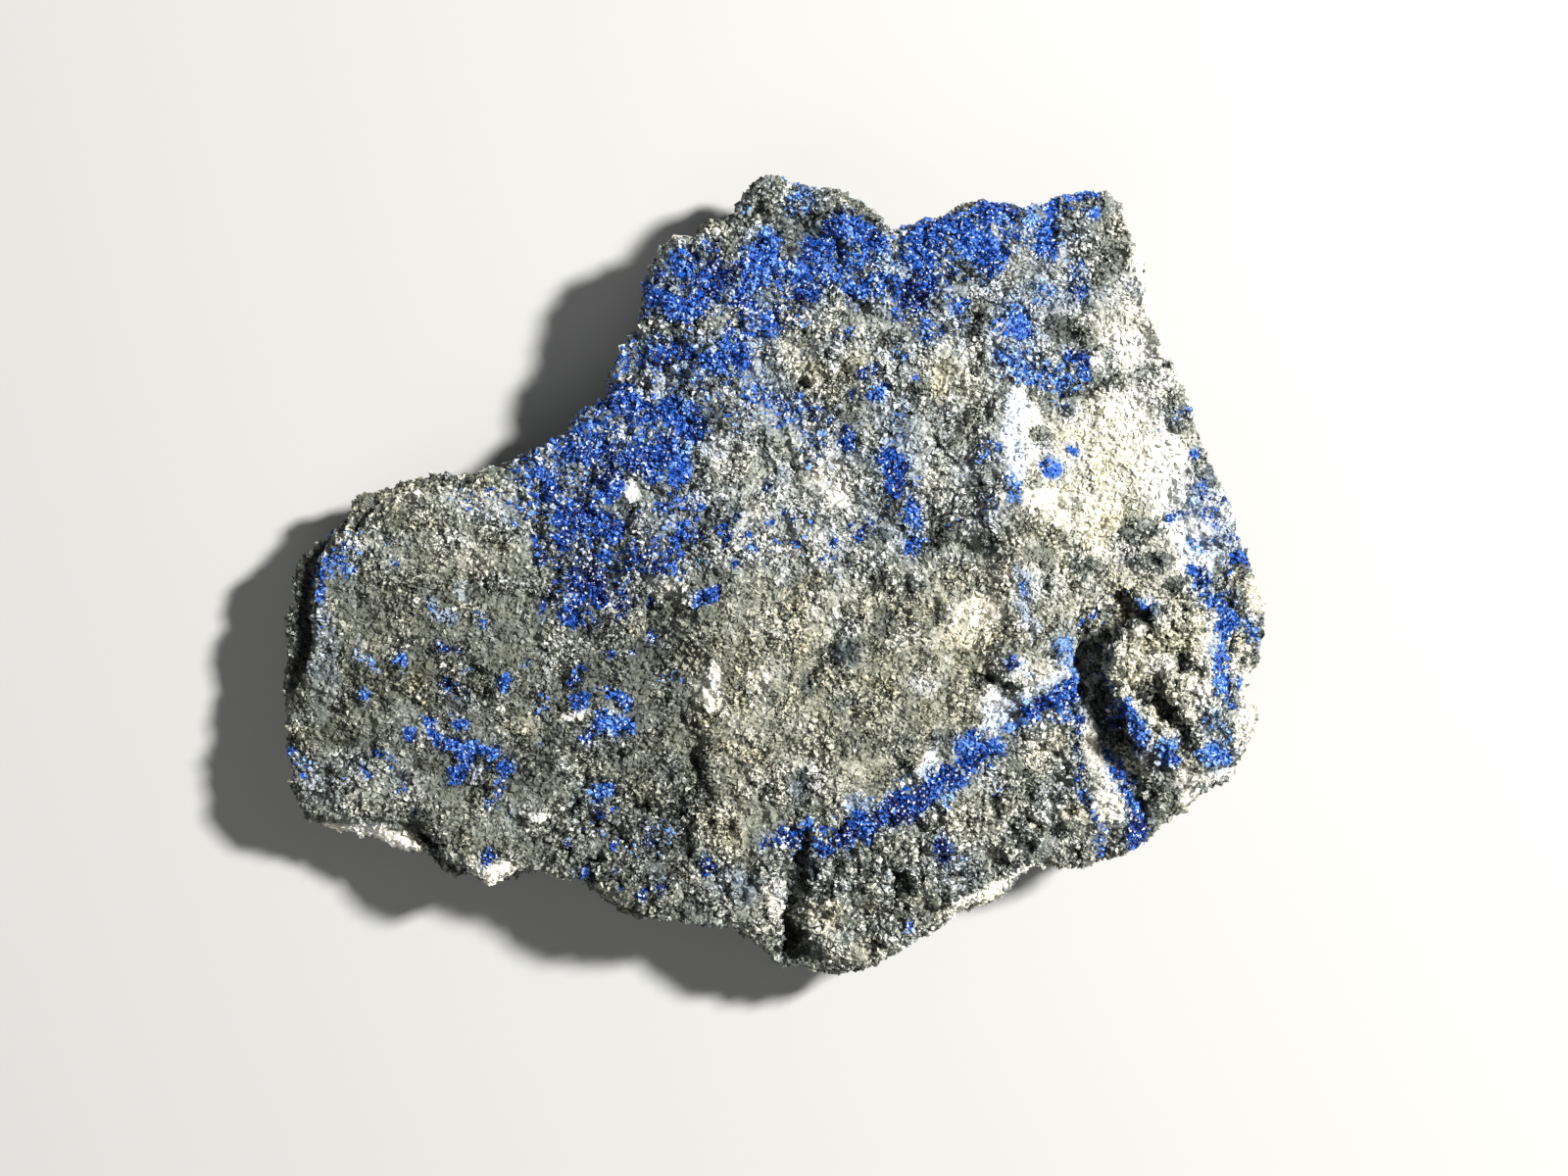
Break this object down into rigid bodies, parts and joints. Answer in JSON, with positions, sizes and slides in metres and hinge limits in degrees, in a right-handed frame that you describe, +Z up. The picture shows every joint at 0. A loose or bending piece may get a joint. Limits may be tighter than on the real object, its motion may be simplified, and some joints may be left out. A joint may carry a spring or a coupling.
{
  "type": "callaghanite mineral specimen",
  "caption": "Flat broken slab of sugary grey and white marble with granular blue callaghanite in veins, patches and spots, lying on its back.",
  "frame": {"origin": "under the middle of the specimen's box, on the surface that it lies on", "axes": "+X along the longest side, +Y across the slab, +Z up through its thickness, with the best face up"},
  "size_m": [0.07, 0.0572, 0.013],
  "materials": {
    "callaghanite_marble": "fresh broken surface of sugary brucite and calcite grains, grey-beige, cream and white, with grains of blue callaghanite"
  },
  "bodies": {
    "root": {"callaghanite_specimen": "callaghanite_marble"}
  },
  "joints": []
}
